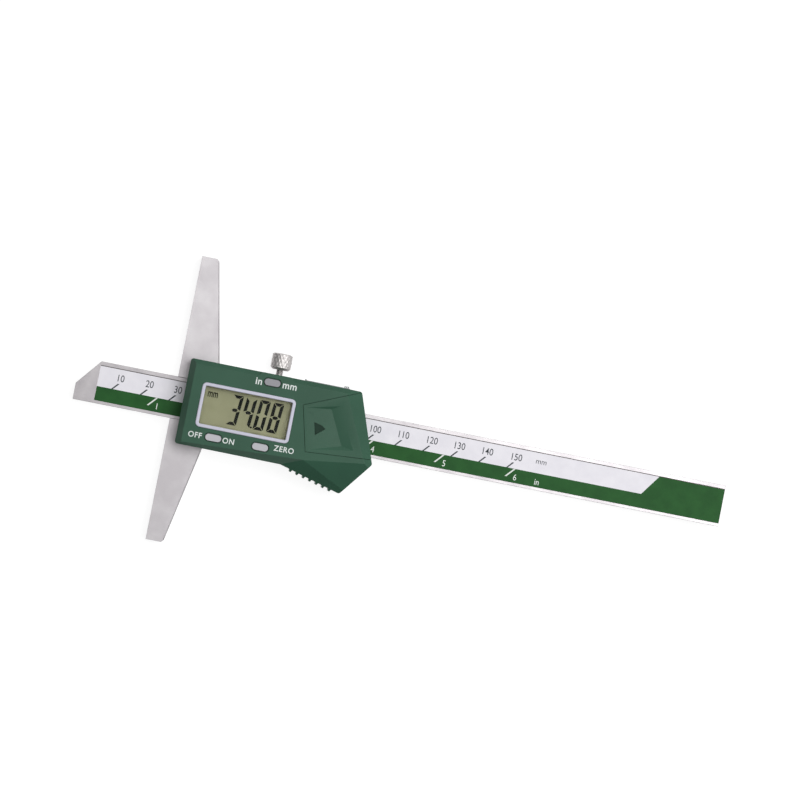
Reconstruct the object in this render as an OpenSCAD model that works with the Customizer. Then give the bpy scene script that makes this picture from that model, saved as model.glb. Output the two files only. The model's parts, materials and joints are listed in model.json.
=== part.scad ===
// Digital depth gauge with a 150 mm beam, lying on its back with the display up.
// +X runs along the beam towards its tail, +Y along the base towards the lock screw,
// and +Z out of the display. X = 0 is the measuring face, Z = 0 the back it lies on.

/* [Beam] */
// Depth at which the beam stands out of the base
reading = 34.08; // [5:0.01:100]
// Longest depth that the scale covers
measuring_range = 150; // [100:10:200]
// Length of beam left behind the measuring face at the longest depth
beam_rest = 80; // [78:0.1:110]
// Width of the beam
beam_w = 14.7; // [13.6:0.1:15.4]
// Thickness of the beam
beam_t = 3.5; // [3:0.1:3.9]
// Width of the flat end of the tip
tip_flat = 5.7; // [3:0.1:10]
// Length of the slanted edge of the tip, along the beam
tip_slant = 7.3; // [3:0.1:12]
// Distance from the end of the tip to the scale label
label_start = 7.3; // [6:0.1:14]
// Width of the scale label
label_w = 12.2; // [10:0.1:12.4]
// Shift of the label from the middle of the beam
label_shift = -0.15; // [-0.4:0.05:0.2]
// Width of the green band along the label
band_w = 4.9; // [3:0.1:6]
// Thickness of the label film
label_t = 0.12; // [0.08:0.01:0.2]
// Thickness of the grating strip under the label
grating_t = 0.8; // [0.5:0.05:1]

/* [Base and slider] */
// Length of the base across the beam
base_len = 100; // [70:1:150]
// Width of the base on the beam's centre line
base_mid_w = 16.1; // [12:0.1:24]
// Width of each end of the base
base_tip_w = 6.2; // [4:0.1:8]
// Thickness of the base and the slider
base_t = 6; // [5.8:0.1:7]
// Chamfer on the outer corners of the base
corner_cut = 0.8; // [0.3:0.1:2]
// Chamfer along the sloping front edges of the base
edge_break = 0.45; // [0.2:0.05:1]
// Length of the slider behind the measuring face
slider_len = 60.5; // [60:0.5:64]
// Width of the slider
slider_w = 26.8; // [26.6:0.1:27.2]
// Thickness of the slider's back web behind the beam
web_t = 1.95; // [1.6:0.05:2.2]
// Running clearance between the beam and its guides
run_gap = 0.03; // [0.02:0.01:0.06]
// How far the front lips reach over the beam's edges
lip_reach = 0.9; // [0.5:0.05:1.1]
// Thickness of the gib strip
gib_t = 1; // [0.6:0.1:1.3]
// Length of the gib strip
gib_len = 40; // [34:1:42]
// Radius of the gib screws
gib_screw_r = 1; // [0.8:0.1:1.2]

/* [Lock screw] */
// Place of the lock screw behind the measuring face
lock_x = 34.2; // [32:0.1:37]
// Radius of the knurled head
lock_head_r = 3.6; // [2.5:0.1:3.7]
// Length of the knurled head
lock_head_len = 5.7; // [3:0.1:8]
// Gap between the slider's side and the head's underside
lock_gap = 3.1; // [1.6:0.1:5.6]
// Radius of the threaded shank
lock_shank_r = 1.25; // [1:0.05:1.5]
// Number of ridges of the knurl
knurl_count = 30; // [20:1:40]

/* [Housing] */
// Distance of the housing from the measuring face
housing_x = 3.5; // [3:0.1:4]
// Overhang of the housing past the slider's upper side
housing_over = 1; // [0.7:0.05:1.6]
// Overhang of the housing past the slider's lower side, at its left end
housing_under = 1.95; // [1.2:0.05:2.2]
// Height of the front face above the back plane
front_z = 15.5; // [15.3:0.1:17]
// Thickness of the front wall
roof_t = 1.9; // [1.7:0.1:2.2]
// Thickness of the side walls
wall_t = 1.5; // [1.2:0.1:1.7]
// Reach of the grip's tip below the rest of the housing
grip_reach = 6.35; // [5.4:0.05:11]
// Height of the grip's back edge above the back plane
grip_z = 1.5; // [0.5:0.1:3]
// Distance between the teeth of the grip
tooth_pitch = 2.5; // [2:0.1:2.7]
// Height of the teeth
tooth_h = 0.8; // [0.4:0.05:1]
// Number of teeth
tooth_count = 7; // [4:1:7]
// Radius of the housing's corners
corner_r = 0.9; // [0.5:0.1:1.4]

/* [Display] */
// Length of the visible display
display_len = 30.2; // [28:0.1:30.6]
// Height of the visible display
display_h = 13.1; // [11:0.05:13.2]
// Width of the bezel around the display
bezel_w = 1.2; // [0.8:0.05:1.3]
// Distance of the bezel from the housing's left edge
display_inset = 5.6; // [5.4:0.1:6]
// Shift of the display from the beam's centre line
display_shift = -0.54; // [-0.9:0.01:-0.4]
// Length of each button
button_len = 5.5; // [4:0.1:6]
// Width of each button
button_w = 2.3; // [1.6:0.1:2.5]
// Travel of each button
button_travel = 0.3; // [0.2:0.05:0.35]

/* [Battery] */
// Diameter of the coin cell
coin_d = 16; // [11:0.5:17]
// Thickness of the coin cell
coin_t = 3.2; // [2:0.1:3.2]
// Length of the battery cover along its slide
cover_len = 21.6; // [21:0.1:23]
// Slope of the cover's sliding direction against the beam
cover_tilt = 13.6; // [11:0.1:17]
// Thickness of the cover's plate
cover_t = 1.6; // [1.4:0.1:1.8]
// Gap around the cover
cover_gap = 0.15; // [0.1:0.01:0.2]

/* [Data port] */
// Length of the port cover
port_cover_len = 15.9; // [12:0.1:17]
// Height of the port cover's visible strip
port_cover_h = 2.5; // [2:0.1:2.8]
// How far the strip stands proud of the housing
port_cover_proud = 0.3; // [0.2:0.05:1]

/* [Hidden] */
$fn = 48;
eps = 0.01;
reach = 200;
inch = 25.4;

steel = [0.74, 0.74, 0.76];
bright_steel = [0.84, 0.84, 0.86];
green = [0.22, 0.36, 0.31];
gold = [0.85, 0.7, 0.35];
grey = [0.68, 0.68, 0.7];

// Beam
beam_len = measuring_range + beam_rest;
tip_x = -reading;
tail_x = tip_x + beam_len;
beam_z = web_t + run_gap;
beam_mid_z = beam_z + beam_t / 2;
label_low = label_shift - label_w / 2;
ink_t = 0.02;
tick_w = 0.35;
white_end = 23.85;
white_slant = 0.73;

// Slider
slider_side = slider_w / 2;
guide_half = beam_w / 2 + run_gap;
window_half = beam_w / 2 - lip_reach;
lip_x = housing_x + 1;
gib_back = guide_half + gib_t;
gib_x = lock_x - 18.4;
fit = 0.05;
gib_screw_inset = 6;
gib_screw_len = 4;
lock_head_y = slider_side + lock_gap;
stop_overtravel = 3;
stop_len = 8;
stop_t = 0.9;
stop_w = 10;
stop_screw_r = 0.9;
small_head_r = 1.5;
small_head_t = 0.45;

// Circuit board on the slider's front face
board_z = base_t;
board_t = 1;
board_top = board_z + board_t;
board_gap = 0.2;
capacitor = [1.6, 0.8, 0.7];
capacitor_pitch = 2.6;
resin_r = 4.2;
resin_t = 1.3;
quartz_r = 1;
quartz_len = 6;

// Front wall and what is set in it
roof_z = front_z - roof_t;
bezel_len = display_len + 2 * bezel_w;
bezel_h = display_h + 2 * bezel_w;
display_x = housing_x + display_inset + bezel_len / 2;
display_y = display_shift;
bezel_seat = front_z - 0.8;
bezel_z = front_z + 0.2;
window_t = 0.8;
window_rim = 0.4;
lcd_t = 1.6;
lcd_rim = 1.25;
lcd_z = roof_z - lcd_t;
rib_t = 0.7;
rib_drop = 1.4;
button_proud = 0.4;
button_gap = 0.15;
groove_w = 0.45;
groove_d = 0.5;
flange_rim = 0.55;
flange_t = 0.8;
dome_h = 0.4;
dome_r = 1.7;
stem_r = 0.9;
stem_shift = 0.9;
inch_mm_at = [display_x + 7, display_y + bezel_h / 2 + 4.2];
off_on_at = [display_x - 9.2, display_y - bezel_h / 2 - 2.8];
zero_at = [display_x + 7.1, display_y - bezel_h / 2 - 2.8];
capacitor_at = [display_x + 3, display_y - 3];

// Battery cover, in a frame that starts at the middle of its left edge
cover_at = [display_x + bezel_len / 2 + 4.45, -1.8];
cover_half = 8;
cover_flare = 9.4;
coin_gap = 0.3;
coin_u = cover_len / 2 - 0.4;
coin_well_r = coin_d / 2 + coin_gap;
end_tilt = 18.8;
coin_z = board_top + 1.6;
coin_top = coin_z + coin_t;
cover_z = front_z - cover_t;
block_u = 16;
block_z = coin_z + 2.4;
tongue_w = 8;
tongue_len = 1.2;
tongue_t = 1;
tab_u = 9;
tab_len = 3.5;
tab_v = 9.2;
tab_reach = 1;
tab_t = 0.8;
tab_drop = 1.6;
rib_u = coin_u - coin_d / 2 + 1.5;
rib_v = 3;
rib_w = 0.8;
rib_gap = 0.2;
leaf_t = 0.25;
leaf_w = 4;
leaf_slot = 0.75;
panel_u = 1.2;
panel_fall = 0.056;
arrow_d = 0.9;

// Housing outline
housing_top = slider_side + housing_over;
housing_bottom = slider_side + housing_under;
grip_drop = housing_bottom + grip_reach;
end_point = cover_at + cover_len * [cos(cover_tilt), sin(cover_tilt)];
end_run = tan(end_tilt);
nose = [end_point[0] + (9.6 + end_point[1]) * end_run, -9.6];
top_right = [end_point[0] - (housing_top - end_point[1]) * end_run, housing_top];
grip_tip = [nose[0] - 9.1, -grip_drop];
grip_start = [grip_tip[0] - 21.9, -housing_bottom - 0.25];
crease = [[grip_tip[0] - 14.6, -housing_bottom + 2.85], [nose[0] - 2.4, nose[1]]];
end_crease = [[nose[0] - 3.5, nose[1] + 1.6], [top_right[0] - 5.2, housing_top - 1.3]];
left_bevel = [2.1, 2.4];
top_bevel = [1.55, 1.6];
bottom_bevel = [2.5, 3];
bottom_strip = 0.9;
end_bevel = [3.8, 2.4];
grip_bevel = [12.1, 5];
tooth_from = 4.1;
tooth_root = 1.2;
tooth_tip = 0.5;
pad_r = 8.5;
pad_at = [lock_x - 0.6, housing_top - 7];
skirt_x = 24;

// Housing screws, bosses and board screws
boss_r = 2;
screw_r = 0.9;
thread_gap = 0.02;
screw_head_r = 1.7;
screw_head_t = 1;
screw_top = board_top + 4;
boss_y = slider_side - 2.3;
boss_at = [[housing_x + 6.2, boss_y], [housing_x + 6.2, -boss_y],
    [display_x + bezel_len / 2 + 0.9, boss_y],
    [slider_len - 2.95, -boss_y]];
board_screw_y = boss_y - 0.65;
board_head_r = 1.45;
board_head_t = 0.8;
board_screw_len = board_t + 3;
board_screw_at = [[display_x + 0.1, board_screw_y], [off_on_at[0] + 8, -board_screw_y]];

// Data port in the top wall
port_x = display_x + bezel_len / 2 + 1.6;
port_mid_z = board_top + 1.9;
port_flange_rim = 0.45;
port_flange_t = 0.45;
port_flange_y = housing_top - 0.85;
port_gap = 0.05;
pocket_len = 10;
pocket_d = 2.2;
contact_count = 5;
contact_pitch = 1.8;

// Plain rectangular block centred on a place in the plan
module block(at, size, z, height) {
    translate([at[0] - size[0] / 2, at[1] - size[1] / 2, z])
        cube([size[0], size[1], height]);
}

// Block with round corners, made of two crossed blocks and four round columns
module round_block(at, size, r, z, height) {
    block(at, [size[0] - 2 * r, size[1]], z, height);
    block(at, [size[0], size[1] - 2 * r], z, height);
    for (sx = [-1, 1], sy = [-1, 1])
        translate([at[0] + sx * (size[0] / 2 - r), at[1] + sy * (size[1] / 2 - r), z])
            cylinder(r = r, h = height);
}

// Long block with half-round ends
module obround(at, len, width, z, height) {
    block(at, [len - width, width], z, height);
    for (side = [-1, 1])
        translate([at[0] + side * (len - width) / 2, at[1], z])
            cylinder(d = width, h = height);
}

// Everything outside a sloping facet. The facet leaves the level z along the line from
// p to q and falls by bevel[1] over bevel[0] towards the right-hand side of that line.
module facet_cut(p, q, z, bevel) {
    translate([p[0], p[1], z])
        rotate([0, 0, atan2(q[1] - p[1], q[0] - p[0])])
            rotate([atan2(bevel[1], bevel[0]), 0, 0])
                translate([-reach, -reach, 0])
                    cube([2 * reach, reach, reach]);
}

// Frame of the battery cover: +X is the way it slides out
module cover_frame() {
    translate([cover_at[0], cover_at[1], 0])
        rotate([0, 0, cover_tilt])
            children();
}

// Base: the ground crossbar with the slider that guides the beam, one steel casting
module base_plan() {
    half = base_len / 2;
    polygon([[0, -half], [base_tip_w - corner_cut, -half],
        [base_tip_w, -half + corner_cut], [base_mid_w, 0], [base_tip_w, half - corner_cut],
        [base_tip_w - corner_cut, half], [0, half]]);
}

module crossbar() {
    difference() {
        linear_extrude(base_t) base_plan();
        for (side = [-1, 1])
            mirror([0, side < 0 ? 1 : 0, 0])
                facet_cut([base_mid_w - edge_break, 0],
                    [base_tip_w - edge_break, base_len / 2], base_t,
                    [edge_break, edge_break]);
    }
}

module beam_channel() {
    height = beam_t + 2 * run_gap;
    translate([-1, -guide_half, web_t])
        cube([slider_len + 2, 2 * guide_half, height]);
    translate([-1, -guide_half, web_t])
        cube([lip_x + 1, 2 * guide_half, base_t]);
    translate([lip_x - eps, -window_half, web_t])
        cube([slider_len, 2 * window_half, base_t]);
    translate([gib_x - fit, guide_half - eps, web_t])
        cube([gib_len + 2 * fit, gib_t + fit + eps, height]);
}

module side_hole(x, r) {
    translate([x, guide_half, beam_mid_z])
        rotate([-90, 0, 0])
            cylinder(r = r, h = slider_side);
}

function gib_screw_xs() = [gib_x + gib_screw_inset, gib_x + gib_len - gib_screw_inset];

module base() {
    color(steel)
        difference() {
            union() {
                crossbar();
                translate([edge_break, -slider_side, 0])
                    cube([slider_len - edge_break, slider_w, base_t]);
            }
            beam_channel();
            side_hole(lock_x, lock_shank_r + fit);
            for (x = gib_screw_xs())
                side_hole(x, gib_screw_r + thread_gap);
            for (at = boss_at)
                translate([at[0], at[1], -eps]) {
                    cylinder(r = screw_r + fit, h = base_t + 1);
                    cylinder(r = screw_head_r + 2 * fit, h = screw_head_t + 2 * fit);
                }
            for (at = board_screw_at)
                translate([at[0], at[1], web_t])
                    cylinder(r = screw_r + thread_gap, h = base_t);
        }
}

// Gib: the bronze strip that takes up the play on the beam's upper edge
module gib_strip() {
    color([0.72, 0.53, 0.3])
        translate([gib_x, guide_half, beam_z])
            cube([gib_len, gib_t, beam_t]);
}

// Set screw with a slot across its outer end
module gib_screw(x) {
    translate([x, gib_back, beam_mid_z])
        rotate([-90, 0, 0])
            difference() {
                cylinder(r = gib_screw_r, h = gib_screw_len);
                translate([-gib_screw_r, -0.15, gib_screw_len - 0.5])
                    cube([2 * gib_screw_r, 0.3, 1]);
            }
}

module gib_screws() {
    color(grey)
        for (x = gib_screw_xs())
            gib_screw(x);
}

// Lock screw: a knurled head on a thin shank that presses on the gib
module knurl_plan() {
    step = 180 / knurl_count;
    polygon([for (i = [0 : 2 * knurl_count - 1])
        (i % 2 == 0 ? lock_head_r : lock_head_r - 0.22) * [cos(i * step), sin(i * step)]]);
}

module lock_head_blank() {
    cut = 0.6;
    rotate_extrude()
        polygon([[0, 0], [lock_head_r - 1.2 * cut, 0], [lock_head_r + eps, cut],
            [lock_head_r + eps, lock_head_len - cut / 2],
            [lock_head_r - cut / 2, lock_head_len], [0, lock_head_len]]);
}

module lock_screw() {
    shank_y = gib_back + fit;
    color(bright_steel)
        translate([lock_x, shank_y, beam_mid_z])
            rotate([-90, 0, 0]) {
                cylinder(r = lock_shank_r, h = lock_head_y - shank_y + eps);
                translate([0, 0, lock_head_y - shank_y])
                    intersection() {
                        linear_extrude(lock_head_len) knurl_plan();
                        lock_head_blank();
                    }
            }
}

// Beam: the flat measuring rod with its slanted tip
module beam_plan() {
    half = beam_w / 2;
    polygon([[tip_x, -half], [tail_x, -half], [tail_x, half], [tip_x + tip_slant, half],
        [tip_x, -half + tip_flat]]);
}

function stop_x() = slider_len + measuring_range - reading + stop_overtravel;
function stop_screw_xs() = [stop_x() + stop_len / 4, stop_x() + stop_len * 3 / 4];

module beam() {
    color(steel)
        translate([0, 0, beam_z])
            difference() {
                linear_extrude(beam_t) beam_plan();
                translate([tip_x + label_start, label_low, beam_t - grating_t - label_t])
                    cube([beam_len, label_w, beam_t]);
                for (x = stop_screw_xs())
                    translate([x, 0, -eps])
                        cylinder(r = stop_screw_r + thread_gap, h = 2);
            }
}

// Grating: the printed strip that the sensor reads through the label
module grating_strip() {
    color([0.55, 0.4, 0.2])
        translate([tip_x + label_start, label_low, beam_z + beam_t - grating_t - label_t])
            cube([beam_len - label_start, label_w, grating_t]);
}

// Label: white film with a green band and the slanted scale lines
module tick(x, y, run, rise) {
    linear_extrude(ink_t)
        polygon([[x, y], [x + tick_w, y], [x + run + tick_w, y + rise], [x + run, y + rise]]);
}

module green_ink_plan() {
    high = label_low + label_w;
    band_top = label_low + band_w;
    cut_x = tail_x - white_end;
    polygon([[tip_x + label_start, label_low], [tail_x, label_low], [tail_x, high],
        [cut_x, high], [cut_x - white_slant * (high - band_top), band_top],
        [tip_x + label_start, band_top]]);
}

module scale_label() {
    band_top = label_low + band_w;
    translate([0, 0, beam_z + beam_t - label_t]) {
        color("white")
            translate([tip_x + label_start, label_low, 0])
                cube([beam_len - label_start, label_w, label_t]);
        color([0.18, 0.36, 0.2])
            translate([0, 0, label_t - eps])
                linear_extrude(ink_t) green_ink_plan();
        color("dimgray")
            translate([0, 0, label_t - eps])
                for (n = [10 : 10 : measuring_range])
                    tick(tip_x + n + 2.3, band_top - eps, 1.9, 2.1);
        color("white")
            translate([0, 0, label_t])
                for (n = [1 : floor(measuring_range / inch + 0.1)])
                    tick(tip_x + n * inch, band_top - 3.1, 2.7, 3);
    }
}

// Stop: a plate under the beam's tail that meets the slider past the longest depth
module stop_plate() {
    color(steel)
        difference() {
            translate([stop_x(), -stop_w / 2, beam_z - stop_t])
                cube([stop_len, stop_w, stop_t]);
            for (x = stop_screw_xs())
                translate([x, 0, beam_z - stop_t - eps]) {
                    cylinder(r = stop_screw_r + fit, h = 2);
                    cylinder(r = small_head_r + fit, h = small_head_t + fit);
                }
        }
}

// Small screw that points up, with a slot across its head
module small_screw(head_r, head_t, shank_r, len) {
    difference() {
        union() {
            cylinder(r = head_r, h = head_t);
            cylinder(r = shank_r, h = len);
        }
        translate([-head_r, -0.2, -eps])
            cube([2 * head_r, 0.4, head_t / 2]);
    }
}

module stop_screws() {
    color(grey)
        for (x = stop_screw_xs())
            translate([x, 0, beam_z - stop_t + fit / 2])
                small_screw(small_head_r, small_head_t, stop_screw_r, stop_t + 1.6);
}

// Outline of the housing, seen on the display
module outline() {
    offset(r = corner_r)
        offset(delta = -corner_r)
            polygon([[housing_x, housing_top], [housing_x, -housing_bottom], grip_start,
                grip_tip, nose, top_right]);
}

// Teeth that stand out of the grip's edge
module grip_teeth() {
    translate(grip_start)
        rotate(atan2(grip_tip[1] - grip_start[1], grip_tip[0] - grip_start[0]))
            for (i = [0 : tooth_count - 1])
                translate([tooth_from + i * tooth_pitch, 0])
                    polygon([[-tooth_tip / 2, -tooth_h], [tooth_tip / 2, -tooth_h],
                        [tooth_root / 2, 0.3], [-tooth_root / 2, 0.3]]);
}

module toothed_outline() {
    outline();
    grip_teeth();
}

// Height lost at a place on a facet that leaves the front face along the line p to q
function facet_depth(p, q, at, bevel) =
    cross((q - p) / norm(q - p), p - at) * bevel[1] / bevel[0];

// Everything above the three facets that meet in one corner just over the front face: the
// bottom bevel, the strip by the teeth and the large facet of the grip
function on_facet(corner, along, out, from, to, bevel) =
    let (run = (to - from) / norm(to - from))
        corner + [along * run[0] + out * run[1], along * run[1] - out * run[0],
            -out * bevel[1] / bevel[0]];

module grip_facets() {
    corner = [crease[0][0], crease[0][1], front_z + 0.05];
    low = [housing_x, -housing_bottom + bottom_strip];
    strip_to = grip_tip + [1.05, 1.5];
    valley = [grip_start[0], grip_start[1],
        corner[2] - facet_depth(low, crease[0], grip_start, bottom_bevel)];
    ridge = [strip_to[0], strip_to[1],
        corner[2] - facet_depth(crease[0], crease[1], strip_to, grip_bevel)];
    ring = [on_facet(corner, -60, 0, low, crease[0], bottom_bevel),
        on_facet(corner, -60, 12, low, crease[0], bottom_bevel),
        corner + 3.4 * (valley - corner), corner + 1.35 * (ridge - corner),
        on_facet(corner, 40, 20, crease[0], crease[1], grip_bevel),
        on_facet(corner, 40, 0, crease[0], crease[1], grip_bevel), corner];
    n = len(ring);
    polyhedron(concat(ring, [for (p = ring) [p[0], p[1], front_z + 5]]),
        concat([[0, 1, 2, 6], [6, 2, 3], [6, 3, 4, 5], [for (i = [n - 1 : -1 : 0]) n + i]],
            [for (i = [0 : n - 1]) [i, n + i, n + (i + 1) % n, (i + 1) % n]]));
}

// Facets that shape the front: left, top, bottom, end, grip and the strip by the teeth
module front_facets() {
    left_x = housing_x + left_bevel[0];
    facet_cut([left_x, housing_top], [left_x, -housing_bottom], front_z, left_bevel);
    difference() {
        facet_cut([reach / 2, housing_top - top_bevel[0]],
            [0, housing_top - top_bevel[0]], front_z, top_bevel);
        translate([pad_at[0], pad_at[1], 0])
            cylinder(r = pad_r, h = front_z + 5);
    }
    facet_cut(end_crease[0], end_crease[1], front_z, end_bevel);
    grip_facets();
}

// Full outer form of housing and battery cover together
module outer_form() {
    difference() {
        union() {
            translate([0, 0, base_t])
                linear_extrude(front_z - base_t) toothed_outline();
            translate([0, 0, grip_z])
                linear_extrude(front_z - grip_z)
                    intersection() {
                        toothed_outline();
                        translate([skirt_x, -reach - slider_side - fit])
                            square([reach, reach]);
                    }
        }
        front_facets();
    }
}

// Space that the battery cover fills, widened by a gap on each side
module cover_space(gap) {
    wide = cover_half + gap / cos(cover_flare);
    far = 40;
    spread = far * tan(cover_flare);
    cover_frame() {
        translate([0, 0, cover_z - gap / 3])
            linear_extrude(reach)
                polygon([[-gap, -wide + gap * tan(cover_flare)], [far, -wide - spread],
                    [far, wide + spread], [-gap, wide - gap * tan(cover_flare)]]);
        translate([0, 0, block_z - gap / 3])
            linear_extrude(reach)
                intersection() {
                    polygon([[0, -wide], [far, -wide - spread],
                        [far, wide + spread], [0, wide]]);
                    translate([block_u - gap, -reach])
                        square([reach, 2 * reach]);
                }
    }
}

// Tongue at the left end and a hook on each side that hold the cover down
module cover_catches(gap, slide) {
    cover_frame() {
        translate([-tongue_len - gap, -tongue_w / 2 - gap, cover_z - tongue_t - gap])
            cube([tongue_len + 2.5 + gap, tongue_w + 2 * gap, tongue_t + 2 * gap + eps]);
        for (side = [-1, 1])
            mirror([0, side < 0 ? 1 : 0, 0]) {
                translate([tab_u - gap, tab_v - 0.9 - gap, cover_z - tab_drop - gap])
                    cube([tab_len + slide + 2 * gap, 0.9 + 2 * gap, tab_drop + gap + eps]);
                translate([tab_u - gap, tab_v - eps, cover_z - tab_drop - gap])
                    cube([tab_len + slide + 2 * gap, tab_reach + gap, tab_t + 2 * gap]);
            }
    }
}

// Sunken panel, in the frame of the cover and measured from the front face. Its floor falls
// towards the right from the line at panel_u, and three walls slope down to that floor.
function on_floor(u, v) = [u, v, -panel_fall * (u - panel_u)];

// Place at the height z on the line from a place on the floor through one above it
function carried_on(low, high, z) = low + (z - low[2]) / (high[2] - low[2]) * (high - low);

module cover_panel() {
    floor = [on_floor(12.6, 5.8), on_floor(15.5, -6.6)];
    rim = [[12.8, 7.05, 0], [16.4, -8.4, 0]];
    start = [[panel_u, 7.1, 0], [panel_u, -7.3, 0]];
    left = [for (i = [0, 1]) carried_on(floor[i], start[i], 0.05)];
    high = [for (i = [0, 1]) carried_on(floor[i], rim[i], 1)];
    left_high = [for (i = [0, 1]) left[i] + 0.95 * (high[i] - rim[i])];
    polyhedron([left[0], left[1], floor[1], floor[0],
        left_high[0], left_high[1], high[1], high[0]],
        [[0, 1, 2, 3], [4, 0, 3, 7], [3, 2, 6], [7, 3, 6], [6, 2, 1, 5], [1, 0, 4],
        [5, 1, 4], [7, 6, 5, 4]]);
}

module cover_arrow() {
    translate([0, 0, -arrow_d])
        linear_extrude(arrow_d + 1)
            polygon([[3.5, -2.5], [7.9, -0.25], [3.5, 2]]);
}

module battery_cover() {
    color(green)
        difference() {
            union() {
                intersection() {
                    outer_form();
                    cover_space(0);
                }
                cover_catches(0, 0);
                cover_frame()
                    for (v = [-rib_v, rib_v])
                        translate([rib_u, v - rib_w / 2, coin_top + rib_gap])
                            cube([block_u - rib_u, rib_w,
                                cover_z - coin_top - rib_gap + eps]);
            }
            cover_frame() {
                translate([0, 0, front_z]) {
                    cover_panel();
                    cover_arrow();
                }
                translate([coin_u, 0, 0])
                    cylinder(r = coin_well_r, h = coin_top + rib_gap);
            }
        }
}

// Inside of the housing over the circuit board
module electronics_space() {
    left = housing_x + wall_t + 0.4;
    split = cover_at[0] - 2.6;
    half = slider_side - 1.2;
    translate([left, -half, base_t - eps])
        cube([split - left, 2 * half, roof_z - base_t + eps]);
    translate([left, -half, base_t - eps])
        cube([slider_len + 0.4 - left, 2 * half, board_top + 0.8 - base_t + eps]);
}

module lcd_ribs() {
    size = [display_len + 2 * lcd_rim + 0.2, display_h + 2 * lcd_rim - 0.15];
    translate([0, 0, roof_z - rib_drop])
        difference() {
            block([display_x, display_y], size + 2 * rib_t * [1, 1], 0, rib_drop + eps);
            block([display_x, display_y], size, -1, rib_drop + 2);
        }
}

module button_opening(at) {
    niche = flange_rim + button_gap;
    obround(at, button_len + 2 * niche, button_w + 2 * niche, base_t - eps,
        roof_z - base_t + eps);
    obround(at, button_len + 2 * button_gap, button_w + 2 * button_gap,
        roof_z - 1, roof_t + 2);
    obround(at, button_len + 2 * groove_w, button_w + 2 * groove_w,
        front_z - groove_d, 2);
}

module port_opening() {
    flange_h = port_cover_h + 2 * port_flange_rim;
    strip_low = port_mid_z - port_cover_h / 2;
    flange_low = port_mid_z - flange_h / 2;
    translate([port_x - port_gap, port_flange_y - port_gap, flange_low - port_gap])
        cube([reach, port_flange_t + 2 * port_gap, flange_h + 2 * port_gap]);
    translate([port_x - port_gap, port_flange_y, strip_low - port_gap])
        cube([reach, 5, port_cover_h + 2 * port_gap]);
    translate([port_x + 1.5, port_flange_y - pocket_d, board_top - 1])
        cube([pocket_len, pocket_d + fit, port_cover_h + 1.6]);
}

module housing() {
    color(green)
        difference() {
            outer_form();
            difference() {
                electronics_space();
                for (at = boss_at)
                    translate([at[0], at[1], 0])
                        cylinder(r = boss_r, h = front_z);
                lcd_ribs();
            }
            for (at = boss_at)
                translate([at[0], at[1], 0])
                    cylinder(r = screw_r + thread_gap, h = screw_top + 0.3);
            block([display_x, display_y], [display_len + 2 * window_rim + 0.1,
                display_h + 2 * window_rim + 0.1], roof_z - 1, roof_t + 2);
            round_block([display_x, display_y], [bezel_len + 0.1, bezel_h + 0.1],
                1.65, bezel_seat, 2);
            for (at = [inch_mm_at, off_on_at, zero_at])
                button_opening(at);
            cover_space(cover_gap);
            cover_catches(cover_gap, 9);
            cover_frame() {
                translate([coin_u, 0, coin_z])
                    cylinder(r = coin_well_r, h = reach);
                translate([coin_u - 4.5, -2, base_t])
                    cube([9, 4, 4]);
                translate([coin_u - coin_well_r - leaf_slot, -leaf_w / 2 - 0.4, base_t])
                    cube([leaf_slot + 1, leaf_w + 0.8, coin_top - base_t]);
            }
            port_opening();
            translate([0, 0, grip_z - 1])
                linear_extrude(board_top + 0.8 - grip_z)
                    intersection() {
                        offset(delta = -2.2) outline();
                        translate([skirt_x + 2, -reach - slider_side - 1.2])
                            square([reach, reach]);
                    }
        }
}

// Screws that hold the housing, from the back through the slider into the bosses
module housing_screws() {
    color(grey)
        for (at = boss_at)
            translate([at[0], at[1], fit])
                small_screw(screw_head_r, screw_head_t, screw_r, screw_top);
}

// Circuit board, with cut-outs for the bosses
module circuit_board() {
    left = housing_x + wall_t + 0.4 + board_gap;
    half = slider_side - 1.2 - board_gap;
    color([0.1, 0.4, 0.22])
        difference() {
            translate([left, -half, board_z])
                cube([slider_len + 0.4 - board_gap - left, 2 * half, board_t]);
            for (at = boss_at)
                translate([at[0], at[1], 0])
                    cylinder(r = boss_r + 0.15, h = board_top + 1);
            for (at = board_screw_at)
                translate([at[0], at[1], 0])
                    cylinder(r = screw_r + fit, h = board_top + 1);
        }
}

module board_screws() {
    color(grey)
        for (at = board_screw_at)
            translate([at[0], at[1], board_top + board_head_t])
                mirror([0, 0, 1])
                    small_screw(board_head_r, board_head_t, screw_r, board_screw_len);
}

// Processor under its drop of black resin
module processor() {
    color([0.08, 0.08, 0.08])
        translate([display_x - 6, display_y, board_top])
            rotate_extrude()
                polygon([[0, 0], [resin_r, 0], [0.93 * resin_r, 0.38 * resin_t],
                    [0.71 * resin_r, 0.77 * resin_t], [0.38 * resin_r, 0.96 * resin_t],
                    [0, resin_t]]);
}

// Quartz can that lies on the board
module quartz_can() {
    color(bright_steel)
        translate([display_x + 4, display_y + 1.5, board_top + quartz_r])
            rotate([0, 90, 0])
                cylinder(r = quartz_r, h = quartz_len);
}

module capacitors() {
    color([0.6, 0.45, 0.3])
        for (i = [0 : 3])
            block(capacitor_at + [i * capacitor_pitch, 0], capacitor, board_top,
                capacitor[2]);
}

// Place of a button's stem and dome, which stand nearer the display than its cap
function stem_place(at) = at - [0, stem_shift * sign(at[1])];

// Snap domes under the buttons
module button_domes() {
    color(gold)
        for (at = [inch_mm_at, off_on_at, zero_at])
            translate([stem_place(at)[0], stem_place(at)[1], board_top])
                rotate_extrude()
                    polygon([[0, 0], [dome_r, 0], [dome_r * 0.6, dome_h * 0.8],
                        [0, dome_h]]);
}

// Striped rubber strips between the board and the display
module zebra_strips() {
    color([0.85, 0.55, 0.6])
        for (side = [-1, 1])
            block([display_x, display_y + side * (display_h / 2 + 0.3)],
                [display_len - 2, 1.3], board_top, lcd_z - board_top);
}

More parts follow.
